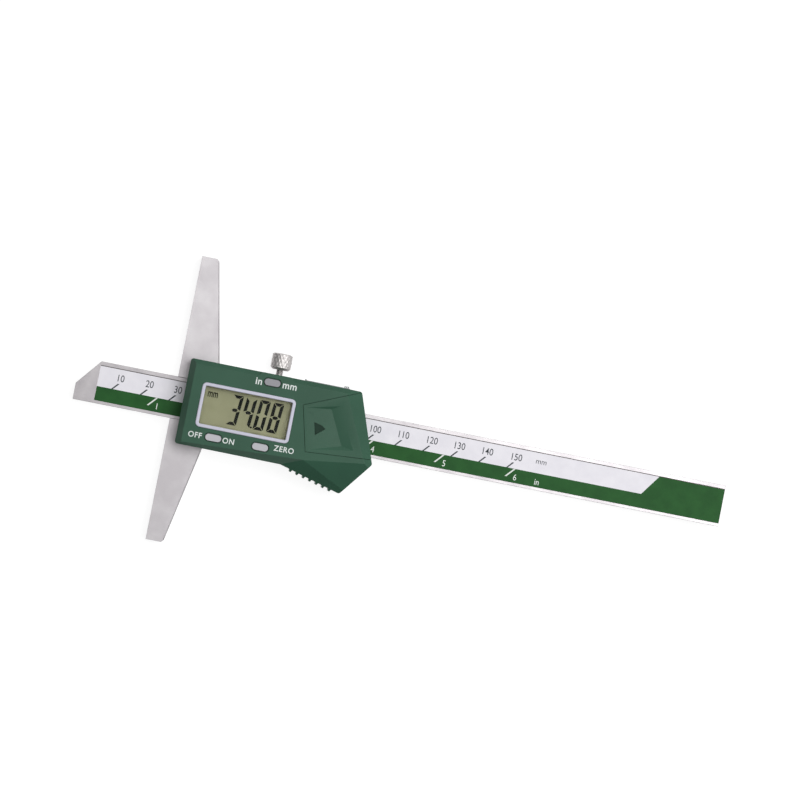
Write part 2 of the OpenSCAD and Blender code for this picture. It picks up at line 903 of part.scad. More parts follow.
module lcd_panel() {
    color([0.6, 0.6, 0.48])
        block([display_x, display_y], [display_len + 2 * lcd_rim,
            display_h + 2 * lcd_rim - 0.35], lcd_z, lcd_t);
}

module display_window() {
    color([0.8, 0.85, 0.85, 0.4])
        block([display_x, display_y], [display_len + 2 * window_rim,
            display_h + 2 * window_rim], bezel_seat - window_t, window_t);
}

module display_bezel() {
    color([0.78, 0.78, 0.84])
        difference() {
            round_block([display_x, display_y], [bezel_len, bezel_h], 1.6,
                bezel_seat, bezel_z - bezel_seat);
            round_block([display_x, display_y], [display_len, display_h], 0.4,
                bezel_seat - 1, 5);
        }
}

// Button cap with a flange under the front wall and a stem down to its dome
module button(at) {
    obround(at, button_len, button_w, roof_z - eps, roof_t + button_proud + eps);
    obround(at, button_len + 2 * flange_rim, button_w + 2 * flange_rim,
        roof_z - flange_t, flange_t);
    stem_z = board_top + dome_h + button_travel + fit;
    translate([stem_place(at)[0], stem_place(at)[1], stem_z])
        cylinder(r = stem_r, h = roof_z - flange_t / 2 - stem_z);
}

module button_inch_mm() {
    color(grey) button(inch_mm_at);
}

module button_off_on() {
    color(grey) button(off_on_at);
}

module button_zero() {
    color([0.78, 0.78, 0.8]) button(zero_at);
}

// Gilt contacts of the data port
module data_contacts() {
    first = port_x + 1.5 + pocket_len / 2 - contact_pitch * (contact_count - 1) / 2;
    board_edge = slider_side - 1.2 - board_gap;
    color(gold)
        for (i = [0 : contact_count - 1])
            block([first + i * contact_pitch, board_edge - 0.4], [0.9, 0.5],
                board_top, 1.6);
}

// Coin cell: the can, and the smaller cap on its lower face
module coin_cell() {
    color(bright_steel)
        cover_frame()
            translate([coin_u, 0, coin_z])
                rotate_extrude()
                    polygon([[0, 0], [coin_d / 2 - 1.6, 0], [coin_d / 2 - 1.6, 0.3],
                        [coin_d / 2 - 0.5, 0.3], [coin_d / 2, 0.8],
                        [coin_d / 2, coin_t], [0, coin_t]]);
}

// Spring leaf from the board up to the rim of the cell
module contact_plus() {
    color(gold)
        cover_frame()
            translate([coin_u - coin_d / 2, -leaf_w / 2, board_top]) {
                translate([-leaf_slot, 0, 0])
                    cube([leaf_slot, leaf_w, leaf_t]);
                translate([-leaf_t, 0, 0])
                    cube([leaf_t, leaf_w, coin_top - board_top - 0.4]);
            }
}

// Spring leaf from the board up to the lower face of the cell
module contact_minus() {
    rise = coin_z - board_top;
    color(gold)
        cover_frame()
            translate([coin_u - 3.5, 1.5, board_top])
                rotate([90, 0, 0])
                    linear_extrude(3)
                        polygon([[0, 0], [3, 0], [6.5, rise - leaf_t], [6.5, rise],
                            [2.8, leaf_t], [0, leaf_t]]);
}

// Strip with a flange that slides in the slot of the top wall
module data_port_cover() {
    flange_h = port_cover_h + 2 * port_flange_rim;
    strip_low = port_mid_z - port_cover_h / 2;
    strip_out = housing_top + port_cover_proud - port_flange_y;
    nub_len = 1.7;
    color(grey) {
        translate([port_x, port_flange_y, port_mid_z - flange_h / 2])
            cube([port_cover_len, port_flange_t, flange_h]);
        translate([port_x, port_flange_y, strip_low])
            cube([port_cover_len, strip_out, port_cover_h]);
        translate([port_x, housing_top + port_cover_proud - eps, strip_low + 0.3])
            cube([0.5, 0.35, port_cover_h - 0.6]);
        for (i = [0 : 2])
            translate([port_x + port_cover_len - 0.3 - nub_len + 0.6 * i,
                    housing_top + port_cover_proud - eps, strip_low + 0.2])
                cube([0.35, 0.65, port_cover_h - 0.4]);
    }
}

base();
gib_strip();
gib_screws();
lock_screw();
beam();
grating_strip();
scale_label();
stop_plate();
stop_screws();
circuit_board();
board_screws();
processor();
quartz_can();
capacitors();
button_domes();
zebra_strips();
lcd_panel();
display_window();
display_bezel();
button_inch_mm();
button_off_on();
button_zero();
data_contacts();
coin_cell();
contact_plus();
contact_minus();
housing();
housing_screws();
battery_cover();
data_port_cover();
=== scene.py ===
import json
from math import cos, pi, radians, sin

import bmesh
import bpy
import numpy as np
from mathutils import Matrix, Vector

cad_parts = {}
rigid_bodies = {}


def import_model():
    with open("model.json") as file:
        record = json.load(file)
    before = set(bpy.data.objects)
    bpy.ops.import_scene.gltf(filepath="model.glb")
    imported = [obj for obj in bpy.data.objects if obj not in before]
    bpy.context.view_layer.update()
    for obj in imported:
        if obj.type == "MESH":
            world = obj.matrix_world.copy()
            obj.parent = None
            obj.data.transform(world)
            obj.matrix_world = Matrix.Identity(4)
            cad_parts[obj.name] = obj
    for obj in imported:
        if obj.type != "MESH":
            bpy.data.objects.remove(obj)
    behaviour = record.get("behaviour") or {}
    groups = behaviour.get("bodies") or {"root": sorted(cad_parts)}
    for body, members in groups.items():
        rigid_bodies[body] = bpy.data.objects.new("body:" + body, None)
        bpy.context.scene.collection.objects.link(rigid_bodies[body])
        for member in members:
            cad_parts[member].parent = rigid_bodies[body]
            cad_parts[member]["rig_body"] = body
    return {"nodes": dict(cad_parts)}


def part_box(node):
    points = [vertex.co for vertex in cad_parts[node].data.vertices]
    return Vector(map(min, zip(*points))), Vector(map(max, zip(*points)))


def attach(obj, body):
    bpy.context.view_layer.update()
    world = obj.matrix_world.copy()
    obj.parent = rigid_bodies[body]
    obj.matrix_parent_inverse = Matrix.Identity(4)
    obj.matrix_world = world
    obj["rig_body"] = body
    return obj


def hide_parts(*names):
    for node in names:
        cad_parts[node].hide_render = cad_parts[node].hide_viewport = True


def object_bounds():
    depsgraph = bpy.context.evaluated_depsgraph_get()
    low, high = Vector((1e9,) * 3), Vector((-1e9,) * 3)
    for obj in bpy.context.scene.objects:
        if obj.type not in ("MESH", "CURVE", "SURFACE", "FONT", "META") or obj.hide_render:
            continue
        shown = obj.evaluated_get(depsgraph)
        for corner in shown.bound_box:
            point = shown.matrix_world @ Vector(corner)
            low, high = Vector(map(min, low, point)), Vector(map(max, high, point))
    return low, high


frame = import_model()
cad_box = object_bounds()
scene = bpy.context.scene
scene.view_settings.view_transform = "Standard"
MM = 0.001


# Camera: the gauge lies on its back and the camera looks down on it, a little from the
# left. It is turned so that the beam falls towards the right of the picture.
looks_at = Vector((77.2, 14.4, 5.5)) * MM
stands_at = Vector((24.1, -3.6, 804.1)) * MM
picture_turn = radians(11.274)
lens_length = 103.28
sensor_width = 36

camera = bpy.data.objects.new("camera", bpy.data.cameras.new("camera"))
camera.data.lens = lens_length
camera.data.sensor_width = sensor_width
camera.data.clip_start = 10 * MM
ahead = (looks_at - stands_at).normalized()
upward = Vector((cos(picture_turn), sin(picture_turn), 0)).cross(ahead).normalized()
camera.matrix_world = Matrix.Translation(stands_at) @ Matrix(
    (ahead.cross(upward), upward, -ahead)).transposed().to_4x4()
scene.collection.objects.link(camera)
scene.camera = camera


# Floor and light: matt white paper, a bright ceiling that darkens towards the horizon, and
# one soft lamp high on the right, which leaves the left and lower bevels in shade.
def shade(red, green, blue):
    """The linear colour of a display colour whose channels run from 0 to 255."""
    display = np.array([red, green, blue]) / 255
    linear = np.where(display > 0.04045, ((display + 0.055) / 1.055) ** 2.4, display / 12.92)
    return (*(float(v) for v in linear), 1.0)


def add(tree, kind, inputs=None, **settings):
    """Adds a shader node, with its settings, and values or links for its sockets."""
    made = tree.nodes.new("ShaderNode" + kind)
    for key, value in settings.items():
        setattr(made, key, value)
    for key, value in (inputs or {}).items():
        if isinstance(value, bpy.types.NodeSocket):
            tree.links.new(value, made.inputs[key])
        else:
            made.inputs[key].default_value = value
    return made


def seen_directly(tree):
    """1 for rays from the camera, off gloss or through glass, and 0 for light on a surface."""
    ray = add(tree, "LightPath")
    either = add(tree, "Math", {0: ray.outputs["Is Camera Ray"],
                                1: ray.outputs["Is Glossy Ray"]}, operation="MAXIMUM")
    return add(tree, "Math", {0: either.outputs[0],
                              1: ray.outputs["Is Transmission Ray"]},
               operation="MAXIMUM").outputs[0]


floor_half = 4.0
paper_white = 0.88
paper_grey = (0.25, 0.25, 0.25, 1)
fibres_a_metre = 900.0
floor_z = cad_box[0][2] - 0.02 * MM

paper = bpy.data.materials.new("floor_paper")
paper.use_nodes = True
tree = paper.node_tree
tree.nodes.clear()
fibre = add(tree, "TexNoise", {"Scale": fibres_a_metre, "Detail": 3.0,
                               "Vector": add(tree, "TexCoord").outputs["Object"]})
dim = add(tree, "BsdfDiffuse", {"Color": paper_grey})
bright = add(tree, "AddShader", {
    0: add(tree, "Emission", {"Color": (1, 1, 1, 1), "Strength": paper_white}).outputs[0],
    1: add(tree, "BsdfDiffuse", {"Color": paper_grey,
                                 "Roughness": fibre.outputs[0]}).outputs[0]})
both = add(tree, "MixShader", {0: seen_directly(tree), 1: dim.outputs[0],
                               2: bright.outputs[0]})
add(tree, "OutputMaterial", {"Surface": both.outputs[0]})

floor_mesh = bpy.data.meshes.new("floor")
floor_mesh.from_pydata([(x * floor_half, y * floor_half, floor_z)
                        for x, y in ((-1, -1), (1, -1), (1, 1), (-1, 1))], [], [(0, 1, 2, 3)])
floor_mesh.materials.append(paper)
floor = bpy.data.objects.new("floor", floor_mesh)
scene.collection.objects.link(floor)

ceiling_level, ceiling_from = 0.65, 0.85
horizon_level, horizon_to = 0.04, 0.15
side_fall = Vector((0.55, 0.75, 0))
world = bpy.data.worlds.new("studio")
world.use_nodes = True
tree = world.node_tree
tree.nodes.clear()
towards = add(tree, "TexCoord").outputs["Generated"]
height = add(tree, "SeparateXYZ", {0: towards})
level = add(tree, "MapRange", {"Value": height.outputs["Z"], "From Min": horizon_to,
                               "From Max": ceiling_from, "To Min": horizon_level,
                               "To Max": ceiling_level})
side = add(tree, "VectorMath", {0: towards, 1: side_fall}, operation="DOT_PRODUCT")
strength = add(tree, "Math", {0: side.outputs["Value"], 1: level.outputs[0],
                              2: level.outputs[0]}, operation="MULTIPLY_ADD")
lit = add(tree, "Background", {"Color": (1, 1, 1, 1), "Strength": strength.outputs[0]})
white = add(tree, "Background", {"Color": (1, 1, 1, 1), "Strength": 1.0})
sky = add(tree, "MixShader", {0: add(tree, "LightPath").outputs["Is Camera Ray"],
                              1: lit.outputs[0], 2: white.outputs[0]})
add(tree, "OutputWorld", {"Surface": sky.outputs[0]})
scene.world = world

lamp_size = 0.95
lamp_power = 8.4
lamp_distance = 1.1
lamp_from = Vector((0.42, 0.24, 0.86)).normalized()
lamp = bpy.data.objects.new("softbox", bpy.data.lights.new("softbox", "AREA"))
lamp.data.shape = "SQUARE"
lamp.data.size = lamp_size
lamp.data.energy = lamp_power
lamp_at = looks_at + lamp_distance * lamp_from
lamp.matrix_world = Matrix.Translation(lamp_at) @ lamp_from.to_track_quat(
    "Z", "Y").to_matrix().to_4x4()
scene.collection.objects.link(lamp)


# Base: the crossbar and the slider, one steel casting with its faces ground across the
# crossbar. Its long edges are broken by a fine stone after grinding.
def finish(name, colour, roughness, metallic=0.0):
    """A material with one Principled shader, and that material's node tree and shader."""
    material = bpy.data.materials.new(name)
    material.use_nodes = True
    shader = material.node_tree.nodes["Principled BSDF"]
    shader.inputs["Base Color"].default_value = colour
    shader.inputs["Roughness"].default_value = roughness
    shader.inputs["Metallic"].default_value = metallic
    return material, material.node_tree, shader


def noise(tree, size, stretch=(1, 1, 1), detail=2.0):
    """Noise on the piece's own coordinates: size is a grain's length in metres, and stretch
    makes the grains longer along an axis."""
    place = add(tree, "Mapping", {"Vector": add(tree, "TexCoord").outputs["Object"],
                                  "Scale": tuple(1 / s for s in stretch)})
    return add(tree, "TexNoise", {"Vector": place.outputs[0], "Scale": 1 / size,
                                  "Detail": detail}).outputs[0]


def ranged(tree, value, low, high, start=0.3, end=0.7):
    """Spreads the values from start to end over low to high, and keeps them inside."""
    return add(tree, "MapRange", {"Value": value, "From Min": start, "From Max": end,
                                  "To Min": low, "To Max": high}).outputs[0]


def between(tree, factor, first, second):
    """The colour that lies between two colours by a factor from 0 to 1."""
    mix = add(tree, "Mix", data_type="RGBA")
    tree.links.new(factor, mix.inputs[0])
    for socket, colour in ((mix.inputs[6], first), (mix.inputs[7], second)):
        if isinstance(colour, bpy.types.NodeSocket):
            tree.links.new(colour, socket)
        else:
            socket.default_value = colour
    return mix.outputs[2]


def raise_by(tree, shader, height, depth):
    """Bumps a surface by a height from 0 to 1 times a depth in metres."""
    bump = add(tree, "Bump", {"Height": height, "Distance": depth})
    tree.links.new(bump.outputs[0], shader.inputs["Normal"])


steel_cloud = 9 * MM
scratch_depth = 0.004 * MM


def ground_steel(name, light, dark, roughness, stretch, line=0.05 * MM):
    """Steel with grinding lines: noise that is much longer along the lines than across."""
    material, tree, shader = finish(name, light, roughness, metallic=1.0)
    lines = noise(tree, line, stretch, detail=4.0)
    cloud = noise(tree, steel_cloud, detail=3.0)
    mottled = between(tree, ranged(tree, cloud, 0, 1, 0.35, 0.65), light, dark)
    streak = between(tree, ranged(tree, lines, 0, 0.35), mottled, dark)
    tree.links.new(streak, shader.inputs["Base Color"])
    tree.links.new(ranged(tree, lines, roughness - 0.05, roughness + 0.08),
                   shader.inputs["Roughness"])
    raise_by(tree, shader, lines, scratch_depth)
    return material


def dress(material, *nodes):
    """Gives CAD nodes a finish, in place of the one they came with."""
    for name in nodes:
        mesh = frame["nodes"][name].data
        mesh.materials.clear()
        mesh.materials.append(material)


def corners_of(mesh):
    """A mesh's corners, as an array with a row for each."""
    flat = np.empty(len(mesh.vertices) * 3)
    mesh.vertices.foreach_get("co", flat)
    return flat.reshape(-1, 3)


flat_within = radians(0.4)
rounded_above = radians(25)


def softened(node, width, material, crease=rounded_above, wider=None, reshape=None):
    """A copy of a CAD node with its flat faces joined and its sharp edges rounded. Faces
    that meet at more than crease are shaded apart. wider holds a larger width and a test
    that picks the edges it is for by their middles, and reshape moves the corners."""
    source = frame["nodes"][node]
    corners = corners_of(source.data)
    mesh = bpy.data.meshes.new(node + "_finished")
    mesh.from_pydata((reshape(corners) if reshape else corners).tolist(), [],
                     [p.vertices[:] for p in source.data.polygons])
    shape = bmesh.new()
    shape.from_mesh(mesh)
    bmesh.ops.remove_doubles(shape, verts=shape.verts, dist=1e-7)
    bmesh.ops.dissolve_limit(shape, angle_limit=flat_within, verts=shape.verts,
                             edges=shape.edges)
    shape.to_mesh(mesh)
    shape.free()
    mesh.materials.append(material)
    mesh.polygons.foreach_set("use_smooth", [True] * len(mesh.polygons))
    mesh.set_sharp_from_angle(angle=rounded_above)
    ends = np.empty(len(mesh.edges) * 2, int)
    mesh.edges.foreach_get("vertices", ends)
    sharp = np.zeros(len(mesh.edges), bool)
    if "sharp_edge" in mesh.attributes:
        mesh.attributes["sharp_edge"].data.foreach_get("value", sharp)
    share = np.where(sharp, 1.0, 0.0)
    widest = width
    if wider:
        widest, picks = wider
        middle = corners_of(mesh)[ends.reshape(-1, 2)].mean(axis=1)
        share *= np.where(picks(middle), 1.0, width / widest)
    weights = mesh.attributes.new("bevel_weight_edge", "FLOAT", "EDGE")
    weights.data.foreach_set("value", share)
    mesh.set_sharp_from_angle(angle=crease)
    piece = bpy.data.objects.new(mesh.name, mesh)
    scene.collection.objects.link(piece)
    edges = piece.modifiers.new("edges", "BEVEL")
    edges.width = widest
    edges.segments = 2 if wider is None else 3
    edges.limit_method = "WEIGHT"
    edges.harden_normals = True
    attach(piece, source["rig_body"])
    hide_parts(node)
    return piece


base_steel = ground_steel("ground_base_steel", shade(206, 203, 205), shade(190, 186, 189),
                          0.42, (40, 1, 1))
softened("base", 0.08 * MM, base_steel)


# Gib: a bronze strip between the slider and the beam's upper edge, which two slotted set
# screws push forward to take up the play.
bronze, tree, shader = finish("gib_bronze", shade(176, 130, 78), 0.38, metallic=1.0)
tree.links.new(between(tree, noise(tree, 1.5 * MM, (8, 1, 1)), shade(186, 140, 88),
                       shade(156, 112, 64)), shader.inputs["Base Color"])
dress(bronze, "gib_strip")

black_oxide, tree, shader = finish("set_screw_oxide", shade(54, 54, 58), 0.45, metallic=1.0)
tree.links.new(between(tree, noise(tree, 0.4 * MM), shade(44, 44, 48), shade(74, 74, 78)),
               shader.inputs["Base Color"])
dress(black_oxide, "gib_screws")


# Lock screw: turned from one bar of steel, with a diamond-knurled head that is chamfered at
# both ends and a threaded shank that bears on the gib. It is nickel plated.
def around_y(radius, along, centre, turns):
    """Points round a line parallel to Y: X and Z are the line's own plus radius times the
    cosine and sine of turns, and Y is along. radius and along have a row for each ring, and
    turns holds the angle of each place round it."""
    x = centre[0] + radius * np.cos(turns)
    z = centre[1] + radius * np.sin(turns)
    y = np.broadcast_to(along, x.shape)
    return np.stack([x, y, z], axis=-1)


def grid_faces(rows, columns):
    """Quads between the rings of a tube whose columns close round on themselves."""
    row, column = np.meshgrid(np.arange(rows - 1), np.arange(columns), indexing="ij")
    nearby = (column + 1) % columns
    return np.stack([row * columns + column, (row + 1) * columns + column,
                     (row + 1) * columns + nearby, row * columns + nearby],
                    axis=-1).reshape(-1, 4)


def new_piece(name, vertices, faces, material, body, smooth=radians(35)):
    """A mesh piece from its corners and faces, turned to face outwards, on its body."""
    mesh = bpy.data.meshes.new(name)
    mesh.from_pydata(np.asarray(vertices).reshape(-1, 3).tolist(), [],
                     [list(map(int, face)) for face in faces])
    shape = bmesh.new()
    shape.from_mesh(mesh)
    bmesh.ops.remove_doubles(shape, verts=shape.verts, dist=1e-8)
    bmesh.ops.recalc_face_normals(shape, faces=shape.faces)
    shape.to_mesh(mesh)
    shape.free()
    mesh.materials.append(material)
    mesh.polygons.foreach_set("use_smooth", [True] * len(mesh.polygons))
    mesh.set_sharp_from_angle(angle=smooth)
    piece = bpy.data.objects.new(name, mesh)
    scene.collection.objects.link(piece)
    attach(piece, body)
    return piece


def saw(value):
    """A triangle wave of period 1: 0 at whole numbers and 1 halfway between them."""
    return 1 - np.abs(2 * (value - np.floor(value)) - 1)


screw_low, screw_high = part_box("lock_screw")
screw_axis = ((screw_low[0] + screw_high[0]) / 2, (screw_low[2] + screw_high[2]) / 2)
head_r = (screw_high[0] - screw_low[0]) / 2
head_top = screw_high[1]
head_foot = head_top - 5.7 * MM
shank_r = 1.25 * MM
shank_lead, lead_cut = 0.4 * MM, 0.3 * MM
thread_pitch = 0.45 * MM
thread_depth = 0.22 * MM
knurl_around = 20
knurl_along = 2.6 * MM
knurl_depth = 0.15 * MM
head_cut = 0.8 * MM

columns_a_knurl = 8
turns = np.linspace(0, 2 * pi, knurl_around * columns_a_knurl, endpoint=False)[None, :]
# The shank's radius falls into the thread's grooves, and narrows at its lead.
shank_rings = 90
shank_y = np.linspace(screw_low[1], head_foot, shank_rings)[:, None]
thread = saw(shank_y / thread_pitch - turns / (2 * pi))
start = np.clip((shank_y - screw_low[1]) / shank_lead, 0, 1)
shank = around_y(shank_r - thread_depth * (1 - thread) - lead_cut * (1 - start), shank_y,
                 screw_axis, turns)
# The head's diamonds stand between two crossing helical grooves, inside its chamfers.
head_rings = 56
head_y = np.linspace(head_foot, head_top, head_rings)[:, None]
helix = knurl_around * turns / (2 * pi)
diamond = np.minimum(saw(helix + head_y / knurl_along), saw(helix - head_y / knurl_along))
from_end = np.minimum(head_y - head_foot, 2 * (head_top - head_y))
chamfered = head_r - np.clip(head_cut - from_end, 0, head_cut)
head = around_y(np.minimum(head_r - knurl_depth * (1 - diamond), chamfered), head_y,
                screw_axis, turns)
foot_tip = around_y(np.full_like(turns, 1e-6), screw_low[1], screw_axis, turns)
# The end face has a shallow round hollow, left by the lathe.
face_r = np.array([[0.62], [0.56], [0.5], [0.0005]]) * head_r + 0 * turns
face_y = head_top - np.array([[0.0], [0.12], [0.2], [0.2]]) * MM
face = around_y(face_r, face_y, screw_axis, turns)
rings = np.concatenate([foot_tip, shank, head, face])

nickel, tree, shader = finish("nickel_plate", shade(206, 202, 201), 0.5, metallic=1.0)
tree.links.new(between(tree, noise(tree, 2 * MM), shade(222, 218, 216),
                       shade(196, 192, 192)), shader.inputs["Base Color"])
tree.links.new(ranged(tree, noise(tree, 0.3 * MM), 0.5, 0.62), shader.inputs["Roughness"])
lock_screw = new_piece("lock_screw_knurled", rings, grid_faces(*rings.shape[:2]), nickel,
                       "lock_screw")
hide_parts("lock_screw")


# Beam: a flat bar of hardened steel, ground along its length, with a slanted tip. A groove
# in its front takes the grating strip, with the printed scale over it.
beam_steel = ground_steel("ground_beam_steel", shade(202, 198, 200), shade(178, 174, 177),
                          0.4, (40, 1, 1), line=0.06 * MM)
softened("beam", 0.12 * MM, beam_steel)

grating_pitch = 2.54 * MM
wave_scale = 0.31
grating, tree, shader = finish("grating_laminate", shade(120, 84, 44), 0.5)
stripes = add(tree, "TexWave", {"Vector": add(tree, "TexCoord").outputs["Object"],
                                "Scale": wave_scale / grating_pitch, "Distortion": 0.0},
              bands_direction="X")
tree.links.new(between(tree, stripes.outputs[1], shade(30, 26, 22), shade(60, 46, 34)),
               shader.inputs["Base Color"])
dress(grating, "grating_strip")


# Scale: white film with a green band, let in flush with the beam. The band ends in a
# slanted green field at the tail, and the lines and numbers are printed on the film.
def slabs(outlines, low, high):
    """Flat bodies between two levels: each outline's corners at the low level and again at
    the high one, with a lid on both and a wall of quads between them."""
    vertices, faces, first = [], [], 0
    for outline in outlines:
        outline = np.array(outline, float)
        foot = first + np.arange(len(outline))
        head = foot + len(outline)
        vertices += [np.insert(outline, 2, level, axis=1) for level in (low, high)]
        faces += [foot[::-1], head, *np.stack([foot, np.roll(foot, -1), np.roll(head, -1),
                                               head], axis=-1)]
        first += 2 * len(outline)
    return np.concatenate(vertices), faces


def printed(name, outlines, low, high, material, body):
    """Ink or film: flat bodies that lie between two levels and ride on a body."""
    return new_piece(name, *slabs(outlines, low, high), material, body)


font_capital = 0.729
letter_ink = 0.01 * MM


def lettering(name, words, capital, level, material, body, width=1.0, weight=0.0,
              spacing=1.0):
    """Printed words, each given with the middle of its place. capital is the height of a
    capital, width narrows the letters, weight thickens their strokes, and spacing spreads
    them."""
    vertices, faces = [], []
    for word, x, y in words:
        curve = bpy.data.curves.new(name, "FONT")
        curve.body = word
        curve.size = capital / font_capital
        curve.offset = weight
        curve.space_character = spacing
        curve.extrude = letter_ink
        curve.resolution_u = 6
        carrier = bpy.data.objects.new(name, curve)
        flat = bpy.data.meshes.new_from_object(carrier)
        corners = corners_of(flat) * (width, 1, 1)
        across = (corners[:, 0].min() + corners[:, 0].max()) / 2
        faces += [[len(vertices) + i for i in p.vertices] for p in flat.polygons]
        vertices += (corners + (x - across, y - capital / 2, level)).tolist()
        bpy.data.objects.remove(carrier)
        bpy.data.curves.remove(curve)
        bpy.data.meshes.remove(flat)
    return new_piece(name, vertices, faces, material, body)


print_gloss = 0.12


def smooth_print(name, colour, worn, roughness):
    """Ink or film in one colour, a little uneven as printing is, with a soft gloss."""
    material, tree, shader = finish(name, colour, roughness)
    cloud = noise(tree, 4 * MM, detail=4.0)
    tree.links.new(between(tree, ranged(tree, cloud, 0, 1, 0.35, 0.65), colour, worn),
                   shader.inputs["Base Color"])
    tree.links.new(ranged(tree, noise(tree, 0.5 * MM), roughness - 0.06, roughness + 0.06),
                   shader.inputs["Roughness"])
    raise_by(tree, shader, noise(tree, 0.3 * MM), 0.003 * MM)
    shader.inputs["Specular IOR Level"].default_value = print_gloss
    return material


label_low, label_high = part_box("scale_label")
beam_low, beam_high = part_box("beam")
film_top = beam_high[2]
film_start = label_low[0]
film_end = label_high[0] - 0.1 * MM
film_foot = label_low[1]
film_head = label_high[1] - 0.17 * MM
film_thickness = 0.12 * MM
band_top = film_foot + 4.9 * MM
field_top = film_end - 23.75 * MM
field_slant = 0.73
ink_low = film_top - 0.005 * MM
ink_high = film_top + 0.01 * MM
tip_x = beam_low[0]

white_film = smooth_print("white_film", shade(236, 234, 240), shade(230, 228, 235), 0.5)
green_ink = smooth_print("green_ink", shade(40, 90, 43), shade(35, 82, 39), 0.5)
grey_ink = smooth_print("grey_ink", shade(62, 68, 72), shade(76, 81, 85), 0.5)
white_ink = smooth_print("white_ink", shade(232, 236, 232), shade(222, 228, 222), 0.45)

film = printed("scale_film", [[(film_start, film_foot), (film_end, film_foot),
                               (film_end, film_head), (film_start, film_head)]],
               film_top - film_thickness, film_top, white_film, "beam")
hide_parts("scale_label")
slant_foot = field_top - field_slant * (film_head - band_top)
printed("green_band", [[(film_start, film_foot), (film_end, film_foot),
                        (film_end, film_head), (field_top, film_head),
                        (slant_foot, band_top), (film_start, band_top)]],
        ink_low, ink_high, green_ink, "beam")


tick_width = 0.64 * MM


def tick(x, y, run, rise):
    """Outline of a slanted scale line: tick_width along X at its foot, and the same at its
    head, which lies further by run and rise."""
    return [(x, y), (x + tick_width, y), (x + run + tick_width, y + rise), (x + run, y + rise)]


# Each line starts a little after its mark, and its number stands after the line. The
# numbers 120 and 150 are printed a little to the right of their places.
tens = range(10, 151, 10)
ten_line_after, ten_run, ten_rise = 2.3, 1.9 * MM, 2.1 * MM
ten_number_after, uneven = 5.0, {120: 0.24, 150: 0.46}
ten_number_y, ten_capital = 2.85 * MM, 2.5 * MM
number_width = 0.84
printed("millimetre_lines", [tick(tip_x + (n + ten_line_after) * MM, band_top, ten_run,
                                  ten_rise) for n in tens],
        ink_low, ink_high, grey_ink, "beam")
lettering("millimetre_numbers",
          [(str(n), tip_x + (n + ten_number_after + uneven.get(n, 0.06)) * MM, ten_number_y)
           for n in tens],
          ten_capital, ink_low, grey_ink, "beam", width=number_width, weight=0.015 * MM)
unit_after = 164.2 * MM
lettering("millimetre_unit", [("mm", tip_x + unit_after, 2.95 * MM)], 2.0 * MM, ink_low,
          grey_ink, "beam", width=0.95)

inches = range(1, 7)
inch = 25.4 * MM
inch_line_down, inch_run, inch_rise = 3.1 * MM, 2.7 * MM, 3.0 * MM
inch_number_y, inch_capital = -4.2 * MM, 2.25 * MM
printed("inch_lines", [tick(tip_x + n * inch, band_top - inch_line_down, inch_run, inch_rise)
                       for n in inches],
        ink_high - 0.005 * MM, ink_high + 0.01 * MM, white_ink, "beam")
lettering("inch_numbers",
          [(str(n), tip_x + n * inch + (3.48 + 0.03 * n) * MM, inch_number_y)
           for n in inches] + [("in", tip_x + 163.9 * MM, -4.3 * MM)],
          inch_capital, ink_high, white_ink, "beam", width=number_width, weight=0.012 * MM)


# Stop: a small steel plate under the tail, held by two slotted screws, which keeps the beam
# from leaving the slider.
stop_steel = ground_steel("stop_steel", shade(186, 184, 184), shade(160, 158, 160), 0.4,
                          (1, 12, 1))
dress(stop_steel, "stop_plate")
bright_screw, tree, shader = finish("bright_screw", shade(190, 190, 194), 0.3, metallic=1.0)
tree.links.new(between(tree, noise(tree, 0.5 * MM), shade(200, 200, 204),
                       shade(160, 160, 166)), shader.inputs["Base Color"])
dress(bright_screw, "stop_screws", "board_screws", "housing_screws")


# Circuit board: glass-fibre board with a green solder mask, screwed to the slider. It holds
# the processor under its resin, a quartz can, capacitors and the snap domes.
track_cells_a_metre = 700.0
mask, tree, shader = finish("solder_mask", shade(22, 92, 50), 0.35)
place = add(tree, "TexCoord").outputs["Object"]
cells = add(tree, "TexVoronoi", {"Vector": place, "Scale": track_cells_a_metre},
            distance="MANHATTAN")
tracks = ranged(tree, cells.outputs["Distance"], 0, 1, 0.42, 0.5)
tree.links.new(between(tree, tracks, shade(18, 82, 44), shade(58, 132, 78)),
               shader.inputs["Base Color"])
raise_by(tree, shader, tracks, 0.02 * MM)
dress(mask, "circuit_board")

resin, tree, shader = finish("black_resin", shade(18, 18, 20), 0.25)
tree.links.new(ranged(tree, noise(tree, 1.2 * MM), 0.18, 0.4), shader.inputs["Roughness"])
raise_by(tree, shader, noise(tree, 1.0 * MM), 0.03 * MM)
dress(resin, "processor")

can, tree, shader = finish("drawn_can", shade(205, 205, 210), 0.22, metallic=1.0)
tree.links.new(ranged(tree, noise(tree, 0.6 * MM), 0.15, 0.32), shader.inputs["Roughness"])
dress(can, "quartz_can")

end_bands_scale = 120.0
ceramic, tree, shader = finish("capacitor_ceramic", shade(160, 120, 84), 0.5)
ends = add(tree, "TexWave", {"Vector": add(tree, "TexCoord").outputs["Object"],
                             "Scale": end_bands_scale}, bands_direction="X")
tree.links.new(between(tree, ranged(tree, ends.outputs[1], 0, 1), shade(166, 124, 88),
                       shade(196, 190, 182)), shader.inputs["Base Color"])
dress(ceramic, "capacitors")

gilt, tree, shader = finish("gilt_spring", shade(214, 176, 96), 0.28, metallic=1.0)
tree.links.new(between(tree, noise(tree, 0.8 * MM), shade(222, 184, 104),
                       shade(194, 156, 84)), shader.inputs["Base Color"])
dress(gilt, "button_domes", "contact_plus", "contact_minus", "data_contacts")


